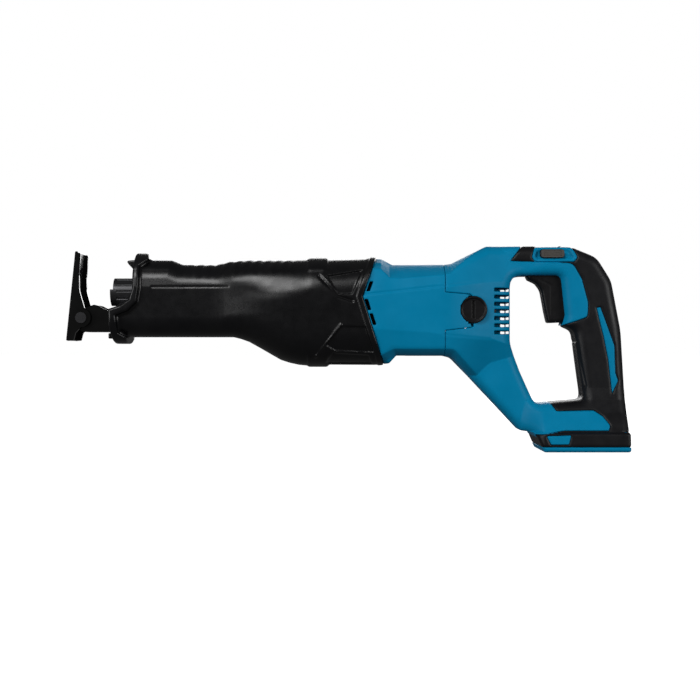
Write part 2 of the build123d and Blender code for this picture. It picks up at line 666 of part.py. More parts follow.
# ---------------------------------------------------------------- slider, blade holder and clamp
HOLDER_FRONT, HOLDER_BACK = -200.5, -181.6
HOLDER_R = 9.0
SLEEVE_R = 12.0
YOKE_LOW = GEAR_TOP + 1.0 + 12.0 + 0.6  # the yoke clears the crank pin by this last step

with BuildPart() as slider_rod:
    add(tube(along_x(HOLDER_BACK, STROKE_Z), ROD_R, PIN_X - HOLDER_BACK))
save(slider_rod, "slider_rod")

with BuildPart() as scotch_yoke:
    add(block(PIN_X - 10, PIN_X + 10, -23.5, 23.5, YOKE_LOW, 143.0))
    add(block(PIN_X - 6.5, PIN_X + 6.5, -20.5, 20.5, 120, 134.0), mode=Mode.SUBTRACT)
    add(tube(along_x(HOLDER_BACK, STROKE_Z), ROD_R, PIN_X - HOLDER_BACK), mode=Mode.SUBTRACT)
save(scotch_yoke, "scotch_yoke")

with BuildPart() as blade_holder:
    add(tube(along_x(HOLDER_FRONT, STROKE_Z), HOLDER_R, HOLDER_BACK - HOLDER_FRONT))
    add(tube(along_x(HOLDER_BACK - 1.6, STROKE_Z), 11.0, 1.6))
    add(block(-210, -186, -0.9, 0.9, STROKE_Z - 7, STROKE_Z + 7), mode=Mode.SUBTRACT)
    add(tube(along_y(-193, -15, STROKE_Z), 1.6, 30), mode=Mode.SUBTRACT)
save(blade_holder, "blade_holder")

with BuildPart() as lock_pin:
    add(tube(along_y(-193, 1.2, STROKE_Z), 1.55, 7.4))
save(lock_pin, "lock_pin")

with BuildPart() as clamp_sleeve:
    add(tube(along_x(-203.7, STROKE_Z), SLEEVE_R, 20.2, HOLDER_R + RUN))
    add(block(-204, -201.2, -20, 20, STROKE_Z + 2, STROKE_Z + 20), mode=Mode.SUBTRACT)
    with BuildSketch(along_x(-198.5, STROKE_Z)):
        with PolarLocations(SLEEVE_R + 0.4, 12):
            Circle(1.3)
    extrude(amount=13, mode=Mode.SUBTRACT)
save(clamp_sleeve, "clamp_sleeve")

# ---------------------------------------------------------------- shoe
PIVOT_X, PIVOT_Z = -227.3, 114.1
BRACKET = [
    (-233.3, 109.0, 5), (-227.3, 101.9, 5), (-105.0, 101.9, 2), (-105.0, 119.1, 2),
    (-202.7, 119.1, 3), (-213.7, 124.6, 2), (-217.0, 125.3, 2), (-233.3, 119.0, 6),
]
BRACKET_HALF = 15.0
PLATE_TOP, PLATE_FOOT = (-232.2, 170.9), (-240.0, 94.5)
PLATE_THICK = 2.6
FLANGE = [
    (-232.4, 169.8, 0), (-227.4, 169.6, 1.5), (-228.8, 150.0, 30), (-228.6, 137.0, 20),
    (-223.0, 118.0, 0), (-227.3, 106.0, 0), (-232.0, 101.0, 4), (-233.6, 94.6, 1),
    (-238.6, 94.2, 0),
]
LOBE_R = 8.2  # flange round the pin
SHOE_HALF = 18.9

with BuildPart() as shoe_bracket:
    add(slab(BRACKET, -BRACKET_HALF, BRACKET_HALF))
    add(block(-240, -100, -12, 12, 104.9, 130), mode=Mode.SUBTRACT)
    add(tube(along_y(PIVOT_X, -20, PIVOT_Z), 4.0 + RUN, 40), mode=Mode.SUBTRACT)
    with Locations(*[(x, 0, 103) for x in range(-190, -120, 14)]):
        Box(6, 10, 8, mode=Mode.SUBTRACT)
save(shoe_bracket, "shoe_bracket")

with BuildPart() as shoe_plate:
    (top_x, top_z), (foot_x, foot_z) = PLATE_TOP, PLATE_FOOT
    plate = [(top_x, top_z, 1), (foot_x, foot_z, 1), (foot_x + PLATE_THICK, foot_z - 0.3, 1),
             (top_x + PLATE_THICK, top_z - 0.3, 1)]
    add(slab(plate, -SHOE_HALF, SHOE_HALF))
    add(on_both_sides(FLANGE, SHOE_HALF - PLATE_THICK, SHOE_HALF))
    for y in (-SHOE_HALF, SHOE_HALF - PLATE_THICK):
        add(tube(along_y(PIVOT_X, y, PIVOT_Z), LOBE_R, PLATE_THICK))
    add(block(-250, -200, -5.5, 5.5, 116, 157), mode=Mode.SUBTRACT)
    add(tube(along_y(PIVOT_X, -20, PIVOT_Z), 4.0, 40), mode=Mode.SUBTRACT)
save(shoe_plate, "shoe_plate")

with BuildPart() as shoe_pin:
    add(tube(along_y(PIVOT_X, -SHOE_HALF - 1, PIVOT_Z), 4.0, 2 * SHOE_HALF + 2))
    add(tube(along_y(PIVOT_X, SHOE_HALF, PIVOT_Z), 4.7, 1.4))
    mirror(tube(along_y(PIVOT_X, SHOE_HALF, PIVOT_Z), 4.7, 1.4), about=Plane.XZ)
save(shoe_pin, "shoe_pin")

# ---------------------------------------------------------------- controls and terminals
TRIGGER = [
    (154.8, 149.9, 1), (156.4, 146.9, 0), (163.2, 143.7, 6), (167.4, 138.0, 12),
    (168.9, 130.0, 20), (170.7, 120.0, 30), (173.0, 109.7, 2), (192.0, 110.5, 2),
    (193.0, 150.0, 4), (189.0, 156.5, 3), (160.0, 156.5, 3),
]

with BuildPart() as trigger:
    add(slab(TRIGGER, -9.5, 9.5))
save(trigger, "trigger")

with BuildPart() as lock_button:
    add(slab(LOCK_BUTTON, -20.6, GRIP_HALF - 2.2))
    for z in (167.2, 169.0, 170.8):
        add(block(168, 183.4, -22, -20.1, z - 0.4, z + 0.4), mode=Mode.SUBTRACT)
save(lock_button, "lock_button")

with BuildPart() as switch_body:
    add(block(204, 219, -11, 11, SHELF_LOW, SHELF_HIGH))
    add(tube(along_x(201.5, 128), 3.0, 2.5))
save(switch_body, "switch_body")

with BuildPart() as terminal_block:
    add(block(172, 181, -17, 17, 5.0, 12.0))
save(terminal_block, "terminal_block")

for name, y in (("terminal_negative", -11.0), ("terminal_signal", 0.0), ("terminal_positive", 11.0)):
    with BuildPart() as terminal:
        add(block(181, 193, y - 0.6, y + 0.6, 5.6, 11.4))
    save(terminal, name)
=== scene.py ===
import itertools
import math

import bpy
import numpy as np
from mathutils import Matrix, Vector


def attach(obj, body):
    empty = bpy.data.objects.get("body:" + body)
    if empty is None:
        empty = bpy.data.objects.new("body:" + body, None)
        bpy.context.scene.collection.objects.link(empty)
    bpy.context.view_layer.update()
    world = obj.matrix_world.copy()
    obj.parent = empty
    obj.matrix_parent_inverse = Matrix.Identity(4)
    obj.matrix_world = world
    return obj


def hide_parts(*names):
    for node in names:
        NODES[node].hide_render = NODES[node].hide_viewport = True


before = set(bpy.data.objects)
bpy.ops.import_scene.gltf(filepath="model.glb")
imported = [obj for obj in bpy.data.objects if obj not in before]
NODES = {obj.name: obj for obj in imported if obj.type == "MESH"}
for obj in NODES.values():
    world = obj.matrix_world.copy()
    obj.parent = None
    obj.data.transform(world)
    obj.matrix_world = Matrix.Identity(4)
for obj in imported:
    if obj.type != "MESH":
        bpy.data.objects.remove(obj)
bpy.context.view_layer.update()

MM = 0.001
MOTOR_Z = 120.5  # height of the motor's axis, mm
SPLIT_X = 82.8  # motor housing meets the handle shells
CAP_X = 107.0  # brush caps
CAP_HOLE = 11.2  # radius of the hole round a brush cap
SCREW_HEAD = 3.6  # radius of the pockets for the handle screws
FINE = 0.6  # spacing of the sampled points, mm


# ---------------------------------------------------------------- outlines in the side view
def rounded_outline(corners, steps=5):
    """Points of a closed outline of (x, z, radius), with each corner turned into a curve."""
    points = []
    for before, corner, after in zip(corners[-1:] + corners[:-1], corners, corners[1:] + corners[:1]):
        here, back, on = np.array(corner[:2]), np.array(before[:2]), np.array(after[:2])
        to_back, to_on = back - here, on - here
        long_back, long_on = np.hypot(*to_back), np.hypot(*to_on)
        half_angle = math.acos(np.clip(to_back @ to_on / (long_back * long_on), -1, 1)) / 2
        reach = min(corner[2] / math.tan(half_angle), 0.49 * long_back, 0.49 * long_on)
        if reach < 0.05:
            points.append(tuple(here))
            continue
        start, end = here + to_back / long_back * reach, here + to_on / long_on * reach
        for t in np.linspace(0, 1, steps):
            points.append(tuple((1 - t) ** 2 * start + 2 * t * (1 - t) * here + t ** 2 * end))
    return points


def depth_inside(points, x, z):
    """Distance to a closed outline, positive inside it."""
    nearest = np.full(x.shape, 1e9, np.float32)
    inside = np.zeros(x.shape, bool)
    for (x0, z0), (x1, z1) in zip(points, points[1:] + points[:1]):
        run, rise = x1 - x0, z1 - z0
        t = np.clip(((x - x0) * run + (z - z0) * rise) / (run * run + rise * rise + 1e-9), 0, 1)
        nearest = np.minimum(nearest, np.hypot(x - x0 - t * run, z - z0 - t * rise))
        if rise:
            inside ^= ((z0 <= z) != (z1 <= z)) & (x < x0 + (z - z0) / rise * run)
    return np.where(inside, nearest, -nearest)


def depth_in_corners(corners, x, z):
    """Depth inside an outline given by its rounded corners."""
    return depth_inside(rounded_outline(corners), x, z)


def line_distance(points, x, z):
    """Distance to an open line."""
    nearest = np.full(x.shape, 1e9, np.float32)
    for (x0, z0), (x1, z1) in zip(points, points[1:]):
        run, rise = x1 - x0, z1 - z0
        t = np.clip(((x - x0) * run + (z - z0) * rise) / (run * run + rise * rise), 0, 1)
        nearest = np.minimum(nearest, np.hypot(x - x0 - t * run, z - z0 - t * rise))
    return nearest


def along(points, x):
    """Height of a line given as (x, z) points."""
    return np.interp(x, [p[0] for p in points], [p[1] for p in points])


def along_smoothly(points, x, reach=8.0):
    """The same line with its corners worn off."""
    return sum(along(points, x + reach * share) for share in (-1, -0.5, 0, 0.5, 1)) / 5


def step_between(value, low, high):
    """0 below low, 1 above high and smooth between."""
    t = np.clip((value - low) / (high - low), 0, 1)
    return t * t * (3 - 2 * t)


# ---------------------------------------------------------------- solids on a grid
class Grid:
    """Sample points in millimetres, with one array of side-view places and one of widths."""

    def __init__(self, low, high, step):
        self.low, self.step = np.array(low, float), step
        counts = [int(math.ceil((b - a) / step)) + 1 for a, b in zip(low, high)]
        xs, ys, zs = (a + step * np.arange(n, dtype=np.float32) for a, n in zip(low, counts))
        self.x, self.z = np.meshgrid(xs, zs, indexing="ij")
        self.y = ys[None, :, None]
        self.x3, self.z3 = self.x[:, None, :], self.z[:, None, :]

    def solid(self, depth, half, radius, relief=0.0):
        """Side outline as deep as depth says, of a half width, with rounded edges.

        relief says how far the surface stands out.
        """
        out = (radius - depth)[:, None, :]
        over = np.abs(self.y) - (half - radius)[:, None, :]
        shape = np.hypot(np.maximum(out, 0), np.maximum(over, 0)) + np.minimum(np.maximum(out, over), 0)
        return shape - radius[:, None, :] - relief

    def slab(self, depth, y_low=-99.0, y_high=99.0):
        """Straight-sided solid between two widths."""
        return np.maximum(-depth[:, None, :], np.maximum(y_low - self.y, self.y - y_high))

    def box(self, low, high):
        sides = [np.maximum(a - v, v - b) for a, v, b in zip(low, (self.x3, self.y, self.z3), high)]
        return np.maximum(np.maximum(sides[0], sides[1]), sides[2])

    def rod_x(self, z, radius, x_low=-999.0, x_high=999.0, y=0.0):
        across = np.hypot(self.y - y, self.z3 - z) - radius
        return np.maximum(across, np.maximum(x_low - self.x3, self.x3 - x_high))

    def rod_y(self, x, z, radius, y_low=-99.0, y_high=99.0):
        across = np.hypot(self.x3 - x, self.z3 - z) - radius
        return np.maximum(across, np.maximum(y_low - self.y, self.y - y_high))


def both(a, b, soft=0.0):
    """Intersection, with its edge rounded off by soft."""
    if not soft:
        return np.maximum(a, b)
    return np.hypot(np.maximum(a + soft, 0), np.maximum(b + soft, 0)) + np.minimum(
        np.maximum(a, b), -soft)


def either(a, b, soft=0.0):
    """Union, with a fillet of soft in its corner."""
    if not soft:
        return np.minimum(a, b)
    return -both(-a, -b, soft)


def surface_mesh(name, field, grid):
    """Mesh of the grid's zero surface: one point per crossed cell, one quad per crossed edge."""
    field = field.astype(np.float32)
    for axis in range(3):
        for end in (0, -1):
            edge = [slice(None)] * 3
            edge[axis] = end
            field[tuple(edge)] = np.maximum(field[tuple(edge)], grid.step)
    inside = field < 0
    cells = tuple(n - 1 for n in field.shape)
    corners = list(itertools.product((0, 1), repeat=3))
    filled = np.zeros(cells, np.int8)
    for i, j, k in corners:
        filled += inside[i:cells[0] + i, j:cells[1] + j, k:cells[2] + k]
    crossed = (filled > 0) & (filled < 8)
    index = np.full(cells, -1, np.int64)
    places = np.argwhere(crossed)
    index[crossed] = np.arange(len(places))
    total, hits = np.zeros((len(places), 3)), np.zeros(len(places))
    for a, b in itertools.combinations(corners, 2):
        if sum(abs(p - q) for p, q in zip(a, b)) != 1:
            continue
        value_a = field[tuple((places + a).T)]
        value_b = field[tuple((places + b).T)]
        cut = (value_a < 0) != (value_b < 0)
        share = (value_a / np.where(cut, value_a - value_b, 1))[:, None]
        total[cut] += (np.array(a) + share * (np.array(b) - np.array(a)))[cut]
        hits[cut] += 1
    points = (grid.low + grid.step * (places + total / hits[:, None])) * MM
    quads = []
    for axis in range(3):
        u, v = (axis + 1) % 3, (axis + 2) % 3
        first, second = [slice(1, -1)] * 3, [slice(1, -1)] * 3
        first[axis], second[axis] = slice(0, -1), slice(1, None)
        a, b = inside[tuple(first)], inside[tuple(second)]
        for outward in (True, False):
            edge = np.argwhere(a & ~b if outward else ~a & b)
            edge[:, u] += 1
            edge[:, v] += 1
            back_u, back_v = np.eye(3, dtype=int)[u], np.eye(3, dtype=int)[v]
            ring = [edge, edge - back_u, edge - back_u - back_v, edge - back_v]
            if not outward:
                ring.reverse()
            quads.append(np.stack([index[tuple(r.T)] for r in ring], axis=1))
    quads = np.concatenate(quads)
    mesh = bpy.data.meshes.new(name)
    mesh.vertices.add(len(points))
    mesh.vertices.foreach_set("co", points.ravel())
    mesh.loops.add(quads.size)
    mesh.loops.foreach_set("vertex_index", quads.ravel())
    mesh.polygons.add(len(quads))
    mesh.polygons.foreach_set("loop_start", np.arange(0, quads.size, 4))
    mesh.update(calc_edges=True)
    mesh.validate()
    mesh.shade_smooth()
    made = bpy.data.objects.new(name, mesh)
    bpy.context.scene.collection.objects.link(made)
    return made


# ---------------------------------------------------------------- outlines shared with the CAD
NOSE_TOP = [(-260, 163.7), (-150, 163.7), (-141, 160.0), (-112, 159.7), (-100, 162.6), (-86, 163.7),
            (-37, 163.9), (-31, 164.8), (-18, 164.8), (-15, 163.9), (15, 164.5), (19, 165.6),
            (30, 164.6), (39, 159.6), (110, 159.5)]
NOSE_FOOT = [(-260, 97.5), (-98, 97.5), (-91, 95.8), (-84, 93.3), (-75, 88.3), (-57, 77.9),
             (-49, 75.3), (-41, 73.6), (-32, 72.8), (-18, 72.8), (-15, 73.8), (24, 73.6),
             (33, 74.6), (36, 75.0), (42, 81.5), (110, 81.5)]
NOSE_HALF = [(-210, 28.0), (-140, 28.0), (-112, 29.5), (-98, 32.5), (-84, 36.0), (-66, 39.5),
             (-50, 40.4), (20, 40.4), (60, 39.0)]
NOSE_CORNER = [(-210, 17.0), (-140, 17.0), (-112, 17.5), (-98, 20.0), (-84, 25.0), (-66, 30.0),
               (-50, 30.0), (10, 28.0), (60, 20.0)]
LIP_FRONT = [(-180.3, 176.0), (-181.5, 155.0), (-181.5, 138.6), (-184.2, 129.7), (-192.0, 124.0),
             (-201.8, 120.8), (-201.4, 104.0), (-199.6, 94.5), (-196.0, 84.0)]
LIP_BACK = [(-189.5, 84.0), (-187.5, 97.0), (-194.5, 101.0), (-195.8, 115.8), (-185.7, 119.8),
            (-178.4, 127.0), (-176.4, 139.0), (-176.4, 158.0), (-168.5, 164.0), (-171.0, 176.0)]
CHEVRON = [(25.0, 166.0), (13.1, 131.6), (31.4, 73.0)]
HANDLE_OUTSIDE = [
    (-20.0, 159.6, 0), (SPLIT_X, 159.6, 0), (89.0, 160.2, 6), (110.0, 170.6, 10), (119.0, 175.2, 8),
    (190.0, 176.0, 30), (214.5, 166.0, 18), (227.0, 146.0, 24), (235.2, 103.0, 90),
    (238.6, 45.0, 90), (240.0, 0.0, 2), (166.8, 0.0, 0), (158.4, 16.4, 3),
    (148.2, 17.3, 6), (90.0, 79.6, 8), (SPLIT_X, 81.4, 0), (-20.0, 81.4, 0),
]
OPENING = [
    (139.5, 150.0, 11), (160.0, 150.5, 0), (183.6, 150.5, 6), (187.2, 116.0, 0),
    (184.6, 107.6, 0), (195.0, 103.0, 7), (203.2, 44.0, 5), (174.0, 41.5, 0),
    (161.0, 40.0, 8), (148.5, 68.0, 20), (139.5, 92.0, 20),
]
TONGUE = [
    (60.0, 135.2, 0), (SPLIT_X, 135.0, 0), (104.0, 133.4, 2), (106.7, 131.0, 1),
    (106.7, 106.4, 1), (104.0, 105.4, 1), (SPLIT_X, 103.0, 0), (60.0, 102.8, 0),
]
SIDE_SLOTS = [(16.3, 135.8, 8.4, 2.9), (17.6, 119.9, 9.3, -2.9), (21.9, 107.4, 9.6, -3.1)]
SOFT = [
    (139.9, 162.6, 0), (193.3, 160.7, 8), (201.0, 147.0, 0), (206.5, 126.4, 12),
    (205.8, 114.7, 4), (184.0, 107.0, 0), (181.0, 60.0, 0), (176.0, 43.0, 0),
    (174.2, 40.7, 0), (178.1, 34.3, 2), (209.9, 34.9, 3), (217.1, 30.1, 0),
    (222.9, 22.5, 3), (221.3, 18.2, 1), (184.0, 18.2, 0), (165.0, 15.2, 0),
    (160.0, 15.0, 0), (164.0, 4.4, 0), (250.0, 4.4, 0), (250.0, 190.0, 0), (149.9, 190.0, 0),
    (149.9, 175.5, 0),
]
STRIPE = [
    (213.6, 122.5, 0), (216.8, 123.1, 1), (221.3, 110.8, 0), (228.8, 90.1, 8),
    (229.6, 66.7, 3), (232.0, 60.0, 2), (226.6, 49.2, 0), (225.3, 61.5, 0), (223.4, 78.4, 0),
    (219.5, 97.9, 0), (215.6, 113.4, 0),
]
BASE_WINDOW = [(168.1, 13.8, 1), (189.1, 14.4, 1), (187.2, 6.6, 1), (172.0, 6.4, 1)]
LOCK_RECESS = [(160.3, 166.0, 2), (162.5, 173.0, 2), (191.0, 173.0, 4), (195.0, 165.5, 2),
               (192.8, 163.6, 1), (162.5, 163.6, 1)]
LOCK_HOLE = [(165.6, 172.6, 2), (185.8, 172.6, 2), (185.8, 165.2, 2), (165.6, 165.2, 2)]
TRIGGER = [
    (154.8, 149.9, 1), (156.4, 146.9, 0), (163.2, 143.7, 6), (167.4, 138.0, 12),
    (168.9, 130.0, 20), (170.7, 120.0, 30), (173.0, 109.7, 2), (192.0, 110.5, 2),
    (193.0, 150.0, 4), (189.0, 156.5, 3), (160.0, 156.5, 3),
]
HANDLE_SCREWS = [(116.0, 156.0), (121.0, 66.0), (158.0, 28.0), (214.0, 88.0), (208.0, 158.5),
                 (226.0, 32.0)]
VENTS, VENT_TOP, VENT_HEIGHT, VENT_PITCH = 7, 139.2, 3.1, 6.05


# ---------------------------------------------------------------- rubber boot
def nose_fields(grid):
    """Depth inside the nose's side profile, its half width and its corner radius."""
    profile = NOSE_TOP + NOSE_FOOT[::-1]
    depth = depth_inside(profile, grid.x, grid.z)
    half = along_smoothly(NOSE_HALF, grid.x) - 0.14 * np.clip(grid.z - 140, 0, 14) * (
        1 - step_between(grid.x, -110, -70))
    return depth, half, along_smoothly(NOSE_CORNER, grid.x)


def boot_relief(x, z):
    """How far the boot's side stands out: raised ring and rim, sunk panels, seam and grooves."""
    upper = depth_inside([(-17.4, 148.5), (13.0, 153.6), (4.4, 133.6), (-6.9, 133.1)], x, z)
    lower = depth_inside([(-4.5, 106.4), (15.5, 106.0), (22.6, 84.6), (-9.5, 86.0), (-18.0, 90.5)], x, z)
    foot = depth_inside([(-10.2, 83.7), (18.2, 82.2), (21.0, 75.0), (-16.5, 75.0)], x, z)
    sunk = 1.5 * step_between(upper, -0.5, 0.6) + 1.3 * step_between(lower, -0.5, 0.6)
    sunk += 0.9 * step_between(foot, -0.5, 0.6)
    ring = step_between(x, -34.5, -32.5) * step_between(-15.5 - x, -0.5, 1.5)
    ring *= step_between(np.abs(z - 118), 33, 38)
    scar = line_distance([(-23.1, 148.5), (-7.7, 131.8), (4.6, 127.8)], x, z)
    ridge = line_distance([(-4.9, 107.6), (-26.3, 80.5)], x, z)
    notch = line_distance([(-10.8, 84.2), (-17.0, 75.5)], x, z)
    seam = np.abs(z - 139.9) + 40 * np.maximum(np.abs(x + 133) / 33 - 1, 0)
    edge = np.maximum(x - along([(73, 31.4), (131.6, 13.1), (166, 25.0)], z), -50)
    relief = 0.9 * ring - sunk + 0.8 * step_between(edge, -5.5, -4.5)
    relief += 0.9 * np.exp(-(ridge / 1.1) ** 2) - 1.3 * np.exp(-(scar / 1.1) ** 2)
    scoop = np.hypot((x + 64) / 42, (z - 141 - 0.08 * (x + 64)) / 14)
    relief -= 1.2 * step_between(1.0 - scoop, 0.0, 0.9)
    return relief - 0.9 * np.exp(-(notch / 0.9) ** 2) - 0.4 * np.exp(-(seam / 0.8) ** 2)


def make_boot():
    """Rubber boot with its lip, tab, horn and ribs."""
    grid = Grid((-207, -46.8, 68), (33, 46.8, 174), FINE)
    depth, half, corner = nose_fields(grid)
    relief = boot_relief(grid.x, grid.z)[:, None, :]
    body = grid.solid(depth, half, corner, relief)
    ribs = step_between(grid.x3, -141, -128) * step_between(-38 - grid.x3, 0, 12)
    ribs = ribs * step_between(grid.z3 - (along(NOSE_TOP, grid.x)[:, None, :] - 14), 0, 8)
    body = body + 0.2 * ribs * (1 + np.sin(2 * math.pi * (grid.x3 + 0.35 * np.abs(grid.y)) / 8.5))
    front = depth_inside([*LIP_FRONT, (-196, 60), (60, 60), (60, 180), (-180.3, 180)], grid.x, grid.z)
    body = both(body, -front[:, None, :])
    band = depth_inside(LIP_FRONT + LIP_BACK, grid.x, grid.z)
    lip = both(grid.solid(depth + 5.8, half + 5.8, corner + 5.8), -band[:, None, :], 1.6)
    body = either(body, lip, 2.5)
    hollow = grid.solid(depth - 2.5, half - 2.5, corner - 2.5)
    body = both(body, -hollow)
    tab = both(grid.box((-205.6, -9, 96.2), (-199.5, 9, 100.9)),
               grid.box((-209, -9, 90), (-190, 9, 110)), 0.8)
    horn = depth_in_corners([(-191.5, 163.6, 2), (-177, 164.4, 0), (-177, 152.5, 0), (-184.5, 156.0, 0)],
                            grid.x, grid.z)
    horn = both(-horn[:, None, :], np.abs(grid.y) - 7, 1.2)
    body = either(either(body, tab), horn)
    back = depth_inside([(-260, 176), *[(x - 0.1, z) for x, z in [(28, 176), *CHEVRON, (34, 64)]],
                         (-260, 64)], grid.x, grid.z)
    body = both(body, -back[:, None, :], 0.5)
    return surface_mesh("boot_skin", body, grid)


# ---------------------------------------------------------------- blue body and soft grip
TOP_CREASE = [(13, 156.5), (28.8, 154.5), (36.3, 146.9), (43.8, 146.6), (81.4, 149.7), (87.2, 151.0),
              (101.9, 164.4), (109.7, 170.0), (120, 180), (250, 240)]
MIDDLE_CREASE = [(13.6, 131.9), (82.3, 139.5), (120.1, 143.7), (250, 150)]
LOW_CREASE = [(13, 104.8), (26.3, 103.9), (68.7, 101.3), (83.8, 99.1), (122.7, 95.7), (135, 92),
              (250, 60)]
BODY_HALF = [(10, 40.4), (30, 40.4), (42, 38.9), (82.8, 38.9), (92, 37.6), (105, 34.0), (118, 29.5),
             (130, 25.5), (139.5, 22.5), (152, 20.0), (164, 18.5), (250, 18.5)]


def body_half_width(x, z):
    """Half width of the blue body, with its creases and facets."""
    side = along_smoothly(BODY_HALF, x, 5.0)
    top, middle, low = along(TOP_CREASE, x), along(MIDDLE_CREASE, x), along(LOW_CREASE, x)
    narrow = 0.27 * np.maximum(z - middle, 0) + 1.3 * np.maximum(z - top, 0)
    narrow += (0.24 + 0.30 * step_between(x, 85, 125)) * np.maximum(low - z, 0)
    narrow *= step_between(x, -60, 30) * (1 - step_between(x, 150, 172))
    foot = line_distance([(30, 76), (41, 81.4), (88, 81.2), (148, 17.3)], x, z)
    narrow += 0.8 * np.maximum(6.0 - foot, 0) * (1 - step_between(x, 140, 150))
    arm = np.maximum(side - narrow, np.minimum(side, 17.0))
    flare = np.interp(z, [0, 15.5, 17.5, 24, 33, 44, 54], [37.5, 37.5, 34.5, 31, 25.5, 20.5, 18.5])
    flare = 15 + (flare - 15) * step_between(x, 143, 168)
    return np.maximum(arm, np.where(z < 54, flare, 0))


def body_relief(x, z):
    """Fine lines on the blue body: creases, the step round the base and the finger pad's edge."""
    lines = 0.8 * np.exp(-((z - along(MIDDLE_CREASE, x) - 1.0) / 1.0) ** 2) * (1 - step_between(x, 60, 118))
    lines += 0.35 * np.exp(-((z - along(LOW_CREASE, x)) / 0.9) ** 2) * (x < 122) * (x > 80)
    lines += 0.8 * np.exp(-((z - 16.4) / 0.9) ** 2) * (x > 165)
    pad = line_distance([(193.5, 97), (197.5, 93), (200.0, 78), (204.5, 56), (203.5, 52)], x, z)
    return -lines - 0.6 * np.exp(-(pad / 0.8) ** 2)


class Body:
    """Fields that the motor housing, shells and soft grips are all cut from."""

    def __init__(self, grid):
        x, z = grid.x, grid.z
        opening = depth_in_corners(OPENING, x, z)
        nose = depth_inside(NOSE_TOP + NOSE_FOOT[::-1], x, z)
        handle = np.minimum(depth_in_corners(HANDLE_OUTSIDE, x, z), -opening)
        self.depth = np.where(x < 50, nose, handle)
        self.half = body_half_width(x, z)
        self.radius = np.interp(x, [20, 45, 90, 120, 150, 250], [14, 9, 9, 8, 8, 8.5])
        self.radius = np.where(z < 17, np.minimum(self.radius, 3.0), self.radius)
        self.relief = body_relief(x, z)[:, None, :]
        self.skin = grid.solid(self.depth, self.half, self.radius, self.relief)
        self.grid = grid

    def under(self, thickness):
        radius = np.maximum(self.radius - thickness, 1.0)
        return self.grid.solid(self.depth - thickness, self.half - thickness, radius)


def side_slot_depth(x, z):
    """Depth inside the leaning slots near the boot."""
    depth = np.full(x.shape, -99.0)
    for x0, z0, height, lean in SIDE_SLOTS:
        corners = [(x0, z0), (x0 + 3, z0), (x0 + 3 + lean, z0 + height), (x0 + lean, z0 + height)]
        depth = np.maximum(depth, depth_inside(corners, x, z))
    return depth


def make_motor_housing():
    """Blue housing between the boot and the handle, with its tongues and side slots."""
    grid = Grid((8, -42.4, 70), (108, 42.4, 168), FINE)
    body = Body(grid)
    chevron = depth_inside([(140, 180), (29.3, 180), *[(x + 0.4, z) for x, z in CHEVRON], (36, 60),
                            (140, 60)], grid.x, grid.z)
    before_split = SPLIT_X - grid.x
    tongue = depth_in_corners(TONGUE, grid.x, grid.z)
    cap = np.hypot(grid.x - CAP_X, grid.z - MOTOR_Z) - CAP_HOLE
    region = np.minimum(np.minimum(chevron, np.maximum(before_split, tongue)), cap)
    field = both(body.skin, -region[:, None, :], 0.4)
    nose = nose_fields(grid)
    liner = both(grid.solid(nose[0] - 2.7, nose[1] - 2.7, nose[2] - 2.7), 9.6 - grid.x3)
    liner = both(liner, grid.x3 - 30)
    field = either(field, liner)
    field = both(field, -body.under(3.4))
    field = both(field, -both(grid.rod_x(MOTOR_Z, 36.0), 32.8 - grid.x3))
    slots = grid.slab(side_slot_depth(grid.x, grid.z))
    field = both(field, -both(slots, 30 - np.abs(grid.y)))
    return surface_mesh("motor_housing_skin", field, grid)


def handle_cuts(grid, sign):
    """Everything that is cut out of a handle shell on one side."""
    cuts = np.minimum(grid.box((172, -30, 4.2), (245, 30, 12)), grid.box((172, -26, -3), (245, 26, 5)))
    for row in range(VENTS):
        top = VENT_TOP - row * VENT_PITCH
        foot = top - VENT_HEIGHT
        cuts = np.minimum(cuts, both(grid.box((125.1, -60, foot), (138.4, 60, top)), 10 - np.abs(grid.y)))
        cuts = np.minimum(cuts, grid.box((133.0, -15.5, foot + 0.5), (142, 15.5, top - 0.5)))
        cuts = np.minimum(cuts, grid.box((133.0, -60, foot + 0.5), (138.4, 60, top - 0.5)))
    cuts = np.minimum(cuts, grid.box((150, -10.2, 108.8), (201, 10.2, 160)))
    cuts = np.minimum(cuts, grid.slab(depth_in_corners(LOCK_HOLE, grid.x, grid.z)))
    if sign > 0:
        for x, z in HANDLE_SCREWS:
            cuts = np.minimum(cuts, grid.rod_y(x, z, SCREW_HEAD, 8.0))
    return cuts


